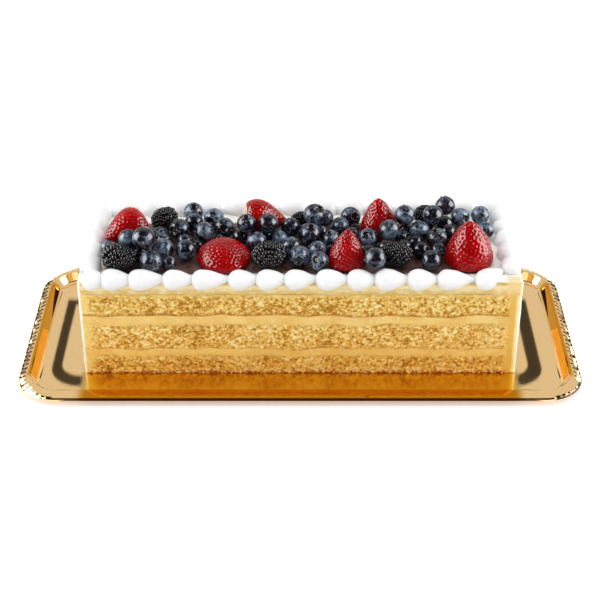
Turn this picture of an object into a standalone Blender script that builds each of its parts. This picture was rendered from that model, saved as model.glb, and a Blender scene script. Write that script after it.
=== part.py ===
"""A long rectangular cream cake on a gilt card tray, with a piped border round a heap of berries.

Three sponges and two layers of custard show at the cut front and back. One coat of cream
covers the top and both ends. Units are metres, +Z is up and +X runs along the cake to the
right of someone who faces its front. The origin is under the tray, at its middle.
"""
import math
import random

import bmesh
import bpy
from mathutils import Matrix, Quaternion, Vector, noise

MM = 0.001
GAP = 0.3 * MM  # left between pieces that touch

# The cake and its layers, from the cake's foot up
CAKE_LENGTH = 305 * MM
CAKE_WIDTH = 100 * MM
CAKE_HEIGHT = 76 * MM
LOW_SPONGE_TOP = 15 * MM
LOW_CUSTARD_TOP = 20.5 * MM
MIDDLE_SPONGE_TOP = 41 * MM
HIGH_CUSTARD_TOP = 48 * MM
HIGH_SPONGE_TOP = 65 * MM
LEFT_COAT = 3 * MM  # how thick the cream is at each end
RIGHT_COAT = 8 * MM
CRUMB_DEPTH = 1.2 * MM  # of the torn crumb on a cut face
CUSTARD_DEPTH = 0.5 * MM
COAT_DIP = 0.5 * MM  # how uneven the spread cream is on top
COAT_COLUMNS = 12
COAT_ROWS = 3

# The tray: a floor, a slope up to a flat lip, and a pleated edge that turns down
TRAY_LENGTH = 396 * MM
TRAY_WIDTH = 172 * MM
TRAY_CORNER = 30 * MM
TRAY_FLOOR = 2 * MM
LIP_HEIGHT = 8 * MM
EDGE_HEIGHT = 4.2 * MM
EDGE_WIDTH = 5 * MM
LIP_WIDTH = 4.5 * MM
SLOPE_WIDTH = 5.5 * MM
CARD = 1.6 * MM
PLEAT_DEPTH = 0.5 * MM
CORNER_POINTS = 10
LONG_SIDE_POINTS = 22
SHORT_SIDE_POINTS = 10

# The piped border
SHELL_RADIUS = 7.5 * MM
SHELL_LINE = 48.5 * MM  # from the cake's middle to the line of heads, across
COLUMN_LINE = 145 * MM  # the same, along
SHELL_LIFT = 1 * MM  # heads' centres above the cream
SHELL_SIDES = 9
SHELL_RINGS = 7
FRONT_HEADS = (-142, -129, -110, -87, -67, -42, -23, -4, 18, 39, 58, 80, 100, 126)
LEFT_HEADS = (40, 24, 7, -12, -29)
RIGHT_HEADS = (-33, -16, 3, 20, 34)
BACK_HEADS = (144, 124, 103, 83, 61, 40, 20, -2, -22, -43, -65, -86, -108, -127)

BERRY_SIDES = 10
BERRY_RINGS = 6
STRAWBERRY_SIDES = 12
STRAWBERRY_RINGS = 9
BRAMBLE_SIDES = 9
BRAMBLE_RINGS = 7
# Strawberries: how slim each form gets towards its ends, and where it was cut off below,
# as a share of its length from the stem
WHOLE = (0.64, 0)
HULLED = (0.64, 0.2)
BROAD = (0.5, 0.16)
STRAWBERRY_MARGIN = 0.4 * MM
UP_AND_FORWARD = Vector((0, -0.84, 0.54)).normalized()
HIGH_START = 14 * MM  # how far up and forward the high berries start from
PULL = 0.04
SINK = 0.1 * MM
SETTLE_ROUNDS = 500
SEED = 7

FOOT = TRAY_FLOOR + GAP
TOP = FOOT + CAKE_HEIGHT
BED = TOP + GAP  # the berries lie on this
FRONT = -CAKE_WIDTH / 2
LEFT = -CAKE_LENGTH / 2
RIGHT = CAKE_LENGTH / 2

# Blueberries on the cream: x, y and diameter in millimetres, then the way that the crown
# looks: its turn from +X and its tilt from straight up, in degrees
LOW_BLUEBERRIES = (
    (-110, -36, 16, 60, 110),
    (-94, -20, 16, 60, 120),
    (-80, -20, 15, 150, 100),
    (-136, -10, 9, 90, 60),
    (-107, 9, 11, 40, 70),
    (-91, 8, 16, -123, 72),
    (-68, 4, 15, 200, 70),
    (-77, 18, 14, 120, 80),
    (-77, 26, 15, -80, 30),
    (-62, 24, 15, -112, 80),
    (-54, 10, 15, -90, 63),
    (-34, -11, 15, 60, 80),
    (-14, -2, 12, 20, 70),
    (-10, 14, 14, 80, 100),
    (-6, -16, 14, 120, 70),
    (-1, -30, 15, -90, 85),
    (13, -34, 14, -119, 52),
    (12, -19, 13, 160, 90),
    (11, -2, 17, -80, 28),
    (8, 24, 17, -41, 32),
    (18, 26, 13, 70, 70),
    (29, 13, 14, 0, 80),
    (36, 23, 15, -60, 60),
    (50, -4, 15, -118, 46),
    (53, -33, 16, 80, 80),
    (84, 6, 15, 10, 80),
    (90, -34, 15, 40, 100),
    (96, -4, 15, -125, 25),
    (115, 26, 14, -60, 75),
    (130, 29, 14, 45, 80),
    (132, 9, 12, 80, 60),
)
# Blueberries that lie on the others, with the place that each one would have on the cream
HIGH_BLUEBERRIES = (
    (-37, 17, 14, -90, 25),
    (-24, 15, 15, 90, 100),
    (73, 20, 15, 90, 60),
    (92, 24, 15, 130, 60),
    (105, 40, 15, 100, 50),
    (60, 6, 15, 110, 110),
    (18, -3, 13, -118, 27),
    (-117, -1, 14, 100, 90),
    (-112, -14, 17, -30, 130),
)
# Strawberries: x, y, width and length in millimetres, then the way that the tip points
LYING_STRAWBERRIES = (
    (-121, 3, 26, 32, -145, 100),
    (-28, 18, 25, 33, 8, 106),
)
STANDING_STRAWBERRIES = (
    (32, -27, 25, 27, 60, 6),
    (56, 17, 27, 28, 160, 2),
    (117, -22, 34, 32, 150, 2),
)
BROAD_STRAWBERRIES = ((-53, -22, 38, 15, -60, 3),)
# Brambles: x, y, width and length in millimetres, then the way that the tip points
BRAMBLES = (
    (-97, 20, 18, 21, 20, 60),
    (-124, -33, 20, 27, -12, 85),
    (-21, -31, 21, 25, 10, 80),
    (0, 23, 13, 15, 30, 70),
    (66, -29, 19, 25, 0, 88),
    (90, 28, 16, 17, 20, 75),
)


def start_scene():
    """Clears the scene and returns the collection that the cake goes in."""
    for thing in list(bpy.data.objects):
        bpy.data.objects.remove(thing, do_unlink=True)
    bpy.context.scene.unit_settings.system = "METRIC"
    collection = bpy.data.collections.new("cream_cake")
    bpy.context.scene.collection.children.link(collection)
    return collection


def finish(name, colour, roughness, metallic=0.0):
    """One plain material."""
    material = bpy.data.materials.new(name)
    material.use_nodes = True
    shader = material.node_tree.nodes["Principled BSDF"]
    shader.inputs["Base Color"].default_value = (*colour, 1.0)
    shader.inputs["Roughness"].default_value = roughness
    shader.inputs["Metallic"].default_value = metallic
    material.diffuse_color = (*colour, 1.0)
    return material


def add_piece(collection, name, shape, material):
    """Turns a bmesh into a named object in the collection."""
    bmesh.ops.recalc_face_normals(shape, faces=shape.faces)
    mesh = bpy.data.meshes.new(name)
    shape.to_mesh(mesh)
    shape.free()
    mesh.materials.append(material)
    piece = bpy.data.objects.new(name, mesh)
    collection.objects.link(piece)
    return piece


def block(low, high):
    """A bmesh box between two corners."""
    shape = bmesh.new()
    bmesh.ops.create_cube(shape, size=1.0)
    size = Vector(high) - Vector(low)
    middle = (Vector(high) + Vector(low)) / 2
    bmesh.ops.scale(shape, vec=size, verts=shape.verts)
    bmesh.ops.translate(shape, vec=middle, verts=shape.verts)
    return shape


def cut_across(shape, axis, places):
    """Adds a loop of edges through the whole shape at each place along an axis."""
    normal = Vector((axis == 0, axis == 1, axis == 2))
    for place in places:
        everything = [*shape.verts, *shape.edges, *shape.faces]
        bmesh.ops.bisect_plane(shape, geom=everything, plane_co=normal * place, plane_no=normal)


def even_places(low, high, count):
    """The places that split a length into equal parts, without its ends."""
    return [low + (high - low) * i / count for i in range(1, count)]


def layer(collection, name, foot, top, columns, rows, depth, material):
    """A sponge or a custard: a slab whose long cut faces are uneven by up to a depth."""
    low = Vector((LEFT + LEFT_COAT + GAP, FRONT, FOOT + foot))
    high = Vector((RIGHT - RIGHT_COAT - GAP, -FRONT, FOOT + top - GAP))
    shape = block(low, high)
    cut_across(shape, 0, even_places(low.x, high.x, columns))
    cut_across(shape, 2, even_places(low.z, high.z, rows))
    for vert in shape.verts:
        side = math.copysign(1, vert.co.y)
        bite = abs(noise.noise(vert.co / (9 * MM)))
        vert.co.y -= side * depth * min(bite * 2, 1)
    bmesh.ops.triangulate(shape, faces=shape.faces)
    return add_piece(collection, name, shape, material)


def cut_away(piece, cutters, low, high):
    """Adds a Boolean cut in the form of a box, whose cutter stays in its own collection."""
    cutter = add_piece(cutters, piece.name + "_cutter", block(low, high), piece.data.materials[0])
    cutter.hide_render = True
    cutter.display_type = "WIRE"
    cut = piece.modifiers.new("cut", "BOOLEAN")
    cut.operation = "DIFFERENCE"
    cut.object = cutter
    cut.solver = "EXACT"


def cream_coat(collection, cutters, material):
    """The cream on the top and both ends, as one piece open at the front, back and foot."""
    shape = block((LEFT, FRONT, FOOT), (RIGHT, -FRONT, TOP))
    cut_across(shape, 0, even_places(LEFT, RIGHT, COAT_COLUMNS))
    cut_across(shape, 1, even_places(FRONT, -FRONT, COAT_ROWS))
    for vert in shape.verts:
        if vert.co.z > TOP - GAP:
            vert.co.z -= COAT_DIP * abs(noise.noise(vert.co / (22 * MM)))
    bmesh.ops.triangulate(shape, faces=shape.faces)
    coat = add_piece(collection, "cream_coat", shape, material)
    low = (LEFT + LEFT_COAT, FRONT - 10 * MM, FOOT - 10 * MM)
    high = (RIGHT - RIGHT_COAT, -FRONT + 10 * MM, FOOT + HIGH_SPONGE_TOP)
    cut_away(coat, cutters, low, high)
    return coat


def tray_ring(inset, height, pleat):
    """One ring of the tray: its outline, drawn in and lifted, with every other point set in."""
    radius = max(TRAY_CORNER - inset, 2 * MM)
    straight_x = TRAY_LENGTH / 2 - TRAY_CORNER
    straight_y = TRAY_WIDTH / 2 - TRAY_CORNER
    out = TRAY_CORNER - inset - radius
    corners = ((1, 1), (-1, 1), (-1, -1), (1, -1))
    points = []
    for quarter, (sign_x, sign_y) in enumerate(corners):
        middle = Vector((sign_x * (straight_x + out), sign_y * (straight_y + out)))
        for i in range(CORNER_POINTS + 1):
            angle = math.radians(90) * (quarter + i / CORNER_POINTS)
            points.append(middle + radius * Vector((math.cos(angle), math.sin(angle))))
        along_x = quarter % 2 == 0
        count = LONG_SIDE_POINTS if along_x else SHORT_SIDE_POINTS
        next_x, next_y = corners[(quarter + 1) % 4]
        following = Vector((next_x * (straight_x + out), next_y * (straight_y + out)))
        start = points[-1]
        step = (following - middle) / count
        points.extend(start + step * i for i in range(1, count))
    ring = []
    for i, point in enumerate(points):
        drawn = point * (1 - pleat * PLEAT_DEPTH * (i % 2) / point.length)
        ring.append(Vector((drawn.x, drawn.y, height - pleat * PLEAT_DEPTH * (i % 2))))
    return ring


def tray(collection, material):
    """A closed shell lofted through rings, from the floor's underside out and back in on top."""
    slope_top = EDGE_WIDTH + LIP_WIDTH
    slope_foot = slope_top + SLOPE_WIDTH
    rings = (
        tray_ring(slope_foot + CARD, 0, 0),
        tray_ring(slope_foot, 0, 0),
        tray_ring(slope_top + CARD, LIP_HEIGHT - CARD, 0),
        tray_ring(EDGE_WIDTH - CARD / 2, LIP_HEIGHT - CARD, 0),
        tray_ring(CARD, EDGE_HEIGHT - CARD, 1),
        tray_ring(0, EDGE_HEIGHT, 1),
        tray_ring(EDGE_WIDTH, LIP_HEIGHT, 0.5),
        tray_ring(slope_top, LIP_HEIGHT, 0),
        tray_ring(slope_foot, TRAY_FLOOR + 0.6 * MM, 0),
        tray_ring(slope_foot + 2 * MM, TRAY_FLOOR, 0),
    )
    shape = bmesh.new()
    loops = [[shape.verts.new(point) for point in ring] for ring in rings]
    for inner, outer in zip(loops, loops[1:]):
        for i in range(len(inner)):
            j = (i + 1) % len(inner)
            shape.faces.new((inner[i], inner[j], outer[j], outer[i]))
    shape.faces.new(loops[0])
    shape.faces.new(loops[-1])
    bmesh.ops.triangulate(shape, faces=shape.faces)
    return add_piece(collection, "cake_board", shape, material)


def border_heads():
    """Each shell's head, all the way round: front to the right, right column back, and so on."""
    front = [(x * MM, -SHELL_LINE) for x in FRONT_HEADS]
    right = [(COLUMN_LINE, y * MM) for y in RIGHT_HEADS]
    back = [(x * MM, SHELL_LINE - 1 * MM) for x in BACK_HEADS]
    left = [(-COLUMN_LINE, y * MM) for y in LEFT_HEADS]
    height = TOP + SHELL_LIFT
    return [Vector((x, y, height)) for x, y in front + right + back + left]


def shell(head, following, radius):
    """A ball of cream that draws out into a tail, which ends inside the next ball."""
    inward = Vector((-following.x, -following.y, 0)).normalized()
    tail = following + inward * 2 * MM
    run = tail - head
    shape = bmesh.new()
    bmesh.ops.create_uvsphere(shape, u_segments=SHELL_SIDES, v_segments=SHELL_RINGS, radius=1.0)
    length = run.length
    for vert in shape.verts:
        s = -vert.co.z
        if s < 0:
            vert.co = Vector((vert.co.x * radius, vert.co.y * radius, s * radius))
        else:
            slim = 1 - 0.35 * s
            vert.co = Vector((vert.co.x * radius * slim, vert.co.y * radius * slim, s * length))
    turn = run.to_track_quat("Z", "Y").to_matrix().to_4x4()
    bmesh.ops.transform(shape, matrix=Matrix.Translation(head) @ turn, verts=shape.verts)
    return shape


def evaluated_mesh(thing):
    """The object's mesh with its modifiers, as data of its own."""
    graph = bpy.context.evaluated_depsgraph_get()
    return bpy.data.meshes.new_from_object(thing.evaluated_get(graph))


def piped_border(collection, cutters, heads, material):
    """All shells joined into one ring that sits on the cream and hangs a little over its edge."""
    rng = random.Random(SEED)
    others = bpy.data.collections.new("shells")
    bpy.context.scene.collection.children.link(others)
    pieces = []
    for i, head in enumerate(heads):
        radius = SHELL_RADIUS * rng.uniform(0.95, 1.04)
        shape = shell(head, heads[(i + 1) % len(heads)], radius)
        home = others if i else collection
        pieces.append(add_piece(home, f"shell_{i}", shape, material))
    border = pieces[0]
    union = border.modifiers.new("join", "BOOLEAN")
    union.operation = "UNION"
    union.operand_type = "COLLECTION"
    union.collection = others
    union.solver = "EXACT"
    border.data = evaluated_mesh(border)
    border.modifiers.clear()
    border.name = "piped_border"
    for thing in list(others.objects):
        bpy.data.objects.remove(thing, do_unlink=True)
    low = (LEFT - GAP, FRONT - GAP, FOOT)
    high = (RIGHT + GAP, -FRONT + GAP, TOP + GAP)
    cut_away(border, cutters, low, high)
    return border


def blueberry_mesh(material):
    """A ball of radius 1, a little flat, with a five-pointed crown round a dip at +Z."""
    shape = bmesh.new()
    bmesh.ops.create_uvsphere(shape, u_segments=BERRY_SIDES, v_segments=BERRY_RINGS, radius=1.0)
    crown_height = math.cos(math.pi / BERRY_RINGS) - 0.01
    crown = [vert for vert in shape.verts if crown_height < vert.co.z < 0.99]
    crown.sort(key=lambda vert: math.atan2(vert.co.y, vert.co.x))
    for i, vert in enumerate(crown):
        reach = 0.42 if i % 2 == 0 else 0.30
        vert.co.xy = vert.co.xy.normalized() * reach
        vert.co.z = 0.90 if i % 2 == 0 else 0.84
    for vert in shape.verts:
        if vert.co.z > 0.99:
            vert.co.z = 0.72
    for vert in shape.verts:
        vert.co.z *= 0.96
    return shape_to_mesh("blueberry", shape, material)


def strawberry_width(t, form):
    """How wide a strawberry is, from 0 to 1, at t of its length from the stem end or the cut."""
    slimness, cut = form
    return math.sin(math.pi * (cut + (1 - cut) * t) ** 0.55) ** slimness


def strawberry_mesh(form, material):
    """A cone with a round shoulder and tip, of radius 1 and length 1, its lower end at the origin."""
    shape = bmesh.new()
    bmesh.ops.create_uvsphere(
        shape, u_segments=STRAWBERRY_SIDES, v_segments=STRAWBERRY_RINGS, radius=1.0
    )
    for vert in shape.verts:
        t = (1 + vert.co.z) / 2
        flat = vert.co.xy
        if 0.001 < t < 0.999:
            flat = flat.normalized() * strawberry_width(t, form)
        vert.co = Vector((flat.x, flat.y, max(t, 0.03) if t > 0.001 else 0.05))
    return shape_to_mesh("strawberry", shape, material)


def bramble_mesh(material):
    """An egg of radius 1 and length 2, each of whose faces swells into a round bump."""
    shape = bmesh.new()
    bmesh.ops.create_uvsphere(shape, u_segments=BRAMBLE_SIDES, v_segments=BRAMBLE_RINGS, radius=0.86)
    for vert in shape.verts:
        vert.co.xy *= 1 - 0.15 * vert.co.z
    bmesh.ops.poke(shape, faces=shape.faces, offset=0.16)
    return shape_to_mesh("bramble", shape, material)


def shape_to_mesh(name, shape, material):
    """Turns a bmesh into mesh data that several objects can share."""
    bmesh.ops.recalc_face_normals(shape, faces=shape.faces)
    mesh = bpy.data.meshes.new(name)
    shape.to_mesh(mesh)
    shape.free()
    mesh.materials.append(material)
    mesh.shade_smooth()
    return mesh


def facing(turn, tilt):
    """The direction at a turn from +X and a tilt from straight up, in degrees."""
    turn = math.radians(turn)
    tilt = math.radians(tilt)
    return Vector(
        (math.sin(tilt) * math.cos(turn), math.sin(tilt) * math.sin(turn), math.cos(tilt))
    )


class Berry:
    """A berry to be placed: its mesh, size and facing, and balls that stand for its room."""

    def __init__(self, name, mesh, place, size, way, balls):
        self.name = name
        self.mesh = mesh
        self.size = size
        self.turn = way.to_track_quat("Z", "Y").to_matrix().to_4x4()
        self.balls = balls  # (offset from the berry's origin, radius)
        self.place = Vector((place[0] * MM, place[1] * MM, 0))
        self.place.z = BED - min((self.turn @ self.scaled(vert.co)).z for vert in mesh.vertices)

    def scaled(self, point):
        """A point of the shared mesh at this berry's size."""
        return Vector((point.x * self.size.x, point.y * self.size.y, point.z * self.size.z))

    def room(self):
        """The balls where the berry now is."""
        return [(self.place + offset, radius) for offset, radius in self.balls]

    def matrix(self):
        return Matrix.Translation(self.place) @ self.turn @ Matrix.Diagonal((*self.size, 1))


def plan_blueberry(name, mesh, x, y, diameter, turn, tilt):
    """A blueberry is one ball."""
    radius = diameter * MM / 2
    size = Vector((radius, radius, radius))
    berry = Berry(name, mesh, (x, y), size, facing(turn, tilt), [(Vector(), radius)])
    berry.place.z = BED + radius
    return berry


def plan_strawberry(name, mesh, form, x, y, width, length, turn, tilt):
    """A strawberry is balls along its axis and round its widest part. Its place is its middle."""
    radius = width * MM / 2
    length = length * MM
    way = facing(turn, tilt)
    balls = []
    for t in (0.22, 0.32, 0.45, 0.6, 0.75, 0.88):
        reach = min(strawberry_width(t, form) * radius, (1 - t) * length)
        balls.append((way * t * length, reach + STRAWBERRY_MARGIN))
    small = length * 0.3
    for turn_round in range(0, 360, 30):
        aside = way.orthogonal().normalized() * (radius - small)
        aside.rotate(Quaternion(way, math.radians(turn_round)))
        balls.append((way * small + aside, small + STRAWBERRY_MARGIN))
    berry = Berry(name, mesh, (x, y), Vector((radius, radius, length)), way, balls)
    berry.place -= Vector((way.x, way.y, 0)) * length * 0.4
    return berry


def plan_bramble(name, mesh, x, y, width, length, turn, tilt):
    """A bramble is three balls in a row."""
    radius = width * MM / 2
    half = length * MM / 2
    way = facing(turn, tilt)
    balls = [(Vector(), radius)]
    for side in (-1, 1):
        balls.append((way * side * (half - radius * 0.8), radius * 0.85))
    return Berry(name, mesh, (x, y), Vector((radius, radius, half)), way, balls)


def push_apart(centre, radius, far_centre, far_radius):
    """How far a ball must move to clear another, or nothing if it is clear."""
    offset = centre - far_centre
    reach = radius + far_radius + GAP
    distance = offset.length
    if distance >= reach:
        return Vector()
    return offset * ((reach - distance) / distance)


def draw_back(berry, plan):
    """Moves a berry a little towards the line through its planned place, and down along it."""
    along = (berry.place - plan).dot(UP_AND_FORWARD)
    berry.place += (plan + UP_AND_FORWARD * along - berry.place) * PULL
    berry.place -= UP_AND_FORWARD * min(SINK, max(along, 0))


def settle(berries, fixed):
    """Lets the blueberries find room among each other, the larger berries and the border."""
    plans = [berry.place.copy() for berry in berries]
    for berry in berries[-len(HIGH_BLUEBERRIES):]:
        berry.place += UP_AND_FORWARD * HIGH_START
    nearby = [near_balls(plan, fixed) for plan in plans]
    for count in range(SETTLE_ROUNDS):
        for i, berry in enumerate(berries):
            if count < SETTLE_ROUNDS * 0.8:
                draw_back(berry, plans[i])
            for other in berries[i + 1:]:
                push = push_apart(berry.place, berry.size.x, other.place, other.size.x) / 2
                berry.place += push
                other.place -= push
            for centre, radius in nearby[i]:
                berry.place += push_apart(berry.place, berry.size.x, centre, radius)
            berry.place.z = max(berry.place.z, BED + berry.size.x)


def near_balls(place, balls):
    """The balls within a few centimetres of a place."""
    return [ball for ball in balls if (ball[0] - place).length < 40 * MM]


def border_room(heads):
    """Balls that stand for the room of the piped border."""
    balls = []
    for i, head in enumerate(heads):
        following = heads[(i + 1) % len(heads)]
        balls.append((head, SHELL_RADIUS * 1.04))
        balls.append(((head + following) / 2, SHELL_RADIUS * 0.85))
    return balls


def plan_berries(heads):
    """Every berry: the large ones at their places, and the blueberries settled among them."""
    blue = blueberry_mesh(finish("blueberry_skin", (0.03, 0.04, 0.09), 0.45))
    red = finish("strawberry_skin", (0.55, 0.015, 0.012), 0.3)
    black = bramble_mesh(finish("bramble_skin", (0.012, 0.006, 0.012), 0.25))
    large = []
    kinds = (
        (WHOLE, LYING_STRAWBERRIES),
        (HULLED, STANDING_STRAWBERRIES),
        (BROAD, BROAD_STRAWBERRIES),
    )
    for form, plans in kinds:
        mesh = strawberry_mesh(form, red)
        for plan in plans:
            large.append(plan_strawberry(f"strawberry_{len(large) + 1}", mesh, form, *plan))
    for i, plan in enumerate(BRAMBLES, 1):
        large.append(plan_bramble(f"bramble_{i}", black, *plan))
    small = []
    for i, plan in enumerate(LOW_BLUEBERRIES + HIGH_BLUEBERRIES, 1):
        small.append(plan_blueberry(f"blueberry_{i:02d}", blue, *plan))
    fixed = border_room(heads)
    for berry in large:
        fixed.extend(berry.room())
    settle(small, fixed)
    return large + small


def main():
    collection = start_scene()
    cutters = bpy.data.collections.new("cutters")
    bpy.context.scene.collection.children.link(cutters)

    tray(collection, finish("gilt_card", (0.83, 0.58, 0.22), 0.25, 1.0))

    sponge = finish("sponge_crumb", (0.80, 0.58, 0.20), 0.9)
    custard = finish("custard_filling", (0.84, 0.62, 0.28), 0.5)
    cream = finish("whipped_cream", (0.93, 0.90, 0.80), 0.45)
    sponges = (
        ("sponge_bottom", 0, LOW_SPONGE_TOP),
        ("sponge_middle", LOW_CUSTARD_TOP, MIDDLE_SPONGE_TOP),
        ("sponge_top", HIGH_CUSTARD_TOP, HIGH_SPONGE_TOP),
    )
    for name, foot, top in sponges:
        layer(collection, name, foot, top, 16, 3, CRUMB_DEPTH, sponge)
    custards = (
        ("custard_lower", LOW_SPONGE_TOP, LOW_CUSTARD_TOP),
        ("custard_upper", MIDDLE_SPONGE_TOP, HIGH_CUSTARD_TOP),
    )
    for name, foot, top in custards:
        layer(collection, name, foot, top, 12, 1, CUSTARD_DEPTH, custard)
    cream_coat(collection, cutters, cream)

    heads = border_heads()
    piped_border(collection, cutters, heads, finish("piped_cream", (0.95, 0.94, 0.91), 0.4))

    for berry in plan_berries(heads):
        piece = bpy.data.objects.new(berry.name, berry.mesh)
        piece.matrix_world = berry.matrix()
        collection.objects.link(piece)


main()
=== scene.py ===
# %% [markdown]
# # A cream cake with berries, on a gilt tray
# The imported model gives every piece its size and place. This lesson dresses it: each plain
# solid is replaced by a piece with the form and the finish of the real one.

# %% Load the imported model
import math
import random

import bpy
import numpy as np
from mathutils import Matrix, Vector
from mathutils.bvhtree import BVHTree
from mathutils.kdtree import KDTree


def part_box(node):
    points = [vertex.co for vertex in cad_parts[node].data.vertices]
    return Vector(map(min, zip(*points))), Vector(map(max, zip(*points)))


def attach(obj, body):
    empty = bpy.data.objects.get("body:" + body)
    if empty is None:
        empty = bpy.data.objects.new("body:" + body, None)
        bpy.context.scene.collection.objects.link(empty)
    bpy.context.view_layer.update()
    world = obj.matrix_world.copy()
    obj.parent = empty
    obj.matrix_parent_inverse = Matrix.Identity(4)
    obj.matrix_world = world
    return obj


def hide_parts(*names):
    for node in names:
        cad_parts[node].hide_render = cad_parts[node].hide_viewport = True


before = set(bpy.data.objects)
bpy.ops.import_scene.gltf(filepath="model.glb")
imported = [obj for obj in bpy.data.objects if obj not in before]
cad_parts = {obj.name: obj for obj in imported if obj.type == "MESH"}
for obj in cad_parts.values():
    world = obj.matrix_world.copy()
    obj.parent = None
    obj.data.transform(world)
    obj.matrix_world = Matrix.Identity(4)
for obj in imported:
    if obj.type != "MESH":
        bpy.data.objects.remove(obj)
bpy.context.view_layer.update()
MM = 0.001

# %% [markdown]
# ## Tools for shaping
# Everything is modelled as by hand: a piece is picked, some of its points, edges or faces are
# selected by where they are, and an edit tool changes them. These helpers do the picking.


# %% Pick a piece, mark parts of it and apply a modifier
def pick(piece):
    """Makes the piece the only selected one, and the active one."""
    bpy.ops.object.select_all(action="DESELECT")
    piece.select_set(True)
    bpy.context.view_layer.objects.active = piece


def mark(piece, kind, test=lambda part: True):
    """Opens edit mode with those points, edges or faces selected that pass the test."""
    pick(piece)
    bpy.ops.object.mode_set(mode="EDIT")
    bpy.ops.mesh.select_mode(type=kind)
    bpy.ops.mesh.select_all(action="DESELECT")
    bpy.ops.object.mode_set(mode="OBJECT")
    mesh = piece.data
    for part in {"VERT": mesh.vertices, "EDGE": mesh.edges, "FACE": mesh.polygons}[kind]:
        part.select = bool(test(part))
    bpy.ops.object.mode_set(mode="EDIT")


def leave():
    """Goes back from edit mode to object mode."""
    bpy.ops.object.mode_set(mode="OBJECT")


add_cube = bpy.ops.mesh.primitive_cube_add
add_grid = bpy.ops.mesh.primitive_grid_add
add_plane = bpy.ops.mesh.primitive_plane_add


def start_with(add, name, scale, **settings):
    """A cube, grid or plane of size 1, with its place and scale applied."""
    bpy.ops.object.select_all(action="DESELECT")
    add(size=1, **settings)
    piece = bpy.context.object
    piece.name = name
    piece.scale = scale
    bpy.ops.object.transform_apply(location=True, rotation=True, scale=True)
    return piece


def finish_with(piece, kind, **settings):
    """Adds one modifier with its settings, and applies it."""
    pick(piece)
    modifier = piece.modifiers.new(kind.lower(), kind)
    for key, value in settings.items():
        setattr(modifier, key, value)
    bpy.ops.object.modifier_apply(modifier=modifier.name)


def cut_away(piece, test):
    """Deletes the faces that pass the test."""
    mark(piece, "FACE", test)
    bpy.ops.mesh.delete(type="FACE")
    leave()


def face_outwards(piece):
    """Makes every face of a closed piece point outwards."""
    mark(piece, "FACE")
    bpy.ops.mesh.normals_make_consistent(inside=False)
    leave()


def smooth(piece, angle):
    """Shades the piece smooth, apart from edges sharper than the angle."""
    pick(piece)
    bpy.ops.object.shade_smooth_by_angle(angle=math.radians(angle))


def cloud(name, size, depth=2, contrast=1.0):
    """A cloudy pattern for a Displace modifier, whose lumps are about as wide as the size."""
    texture = bpy.data.textures.new(name, "CLOUDS")
    texture.noise_scale = size
    texture.noise_depth = depth
    texture.contrast = contrast
    return texture


def displace(piece, texture, mid_level, strength, **settings):
    """Moves the points of a piece by a cloudy pattern, along their normals or one axis."""
    settings.update(texture=texture, mid_level=mid_level, strength=strength)
    finish_with(piece, "DISPLACE", texture_coords="LOCAL", **settings)


def group_of(piece, name, weight):
    """A vertex group in which each point has the weight that a function gives it."""
    group = piece.vertex_groups.new(name=name)
    for point in piece.data.vertices:
        group.add([point.index], weight(point.co), "REPLACE")
    return name


def store(piece, name, value):
    """Keeps a number for each point, for the finish to read."""
    kept = piece.data.attributes.new(name, "FLOAT", "POINT")
    kept.data.foreach_set("value", [value(point.co) for point in piece.data.vertices])


def tree_of(points):
    """Finds the nearest of many points, by find(place)."""
    tree = KDTree(len(points))
    for i, point in enumerate(points):
        tree.insert(point, i)
    tree.balance()
    return tree


def facing(way):
    """The turn that takes the z axis to a direction."""
    return way.to_track_quat("Z", "Y").to_matrix().to_4x4()


def twin_of(master, name, place):
    """A copy with a mesh of its own, which a matrix puts in place."""
    twin = master.copy()
    twin.data = master.data.copy()
    twin.name = name
    bpy.context.collection.objects.link(twin)
    twin.data.transform(place)
    return twin


def join(pieces, name):
    """Joins the pieces into the first one."""
    pick(pieces[0])
    for piece in pieces[1:]:
        piece.select_set(True)
    bpy.ops.object.join()
    pieces[0].name = name
    return pieces[0]


def faces_of(piece):
    """How many faces a piece has, for the notes that the cells print."""
    return len(piece.data.polygons)


# %% [markdown]
# Many pieces here are round: berries, seeds and the blobs of piped cream. Each is turned up
# like a pot, from a small disc that is extruded and resized at one height after another.


# %% Turn up a round body
def arc(slopes, rise=1, radius=1, middle=0):
    """Stations on a round or flattened arc, one for each slope in radians."""
    return [(middle + rise * math.sin(slope), radius * math.cos(slope)) for slope in slopes]


def turn_up(name, sides, outline):
    """A closed round body about the z axis, through (height, radius) stations."""
    bpy.ops.object.select_all(action="DESELECT")
    height, radius = outline[0]
    bpy.ops.mesh.primitive_circle_add(
        vertices=sides, radius=radius, fill_type="NGON", location=(0, 0, height)
    )
    piece = bpy.context.object
    piece.name = name
    bpy.ops.object.transform_apply(location=True, rotation=True, scale=True)
    bpy.ops.object.mode_set(mode="EDIT")
    bpy.ops.mesh.select_mode(type="FACE")
    bpy.ops.mesh.select_all(action="SELECT")
    for new_height, new_radius in outline[1:]:
        rise = (0, 0, new_height - height)
        bpy.ops.mesh.extrude_region_move(TRANSFORM_OT_translate={"value": rise})
        share = new_radius / radius
        centre = (0, 0, new_height)
        bpy.ops.transform.resize(value=(share, share, 1), center_override=centre)
        height, radius = new_height, new_radius
    leave()
    face_outwards(piece)
    return piece


# %% [markdown]
# ## Tools for finishes
# A finish is a set of shader nodes. One class wraps a node's output, so that sums can be
# written as sums: noise * 2 - 1 adds two Math nodes. The other holds a material, and makes
# any node from its type, its settings and the values of its sockets.


# %% Write shader sums as Python
def sums(operation, reflected=False):
    """The method of Wire that adds one Math node; reflected, the wire comes second."""

    def method(self, other=0):
        first, second = (other, self) if reflected else (self, other)
        settings = {"operation": operation}
        return self.finish.node("ShaderNodeMath", settings, {0: first, 1: second})

    return method


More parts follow.
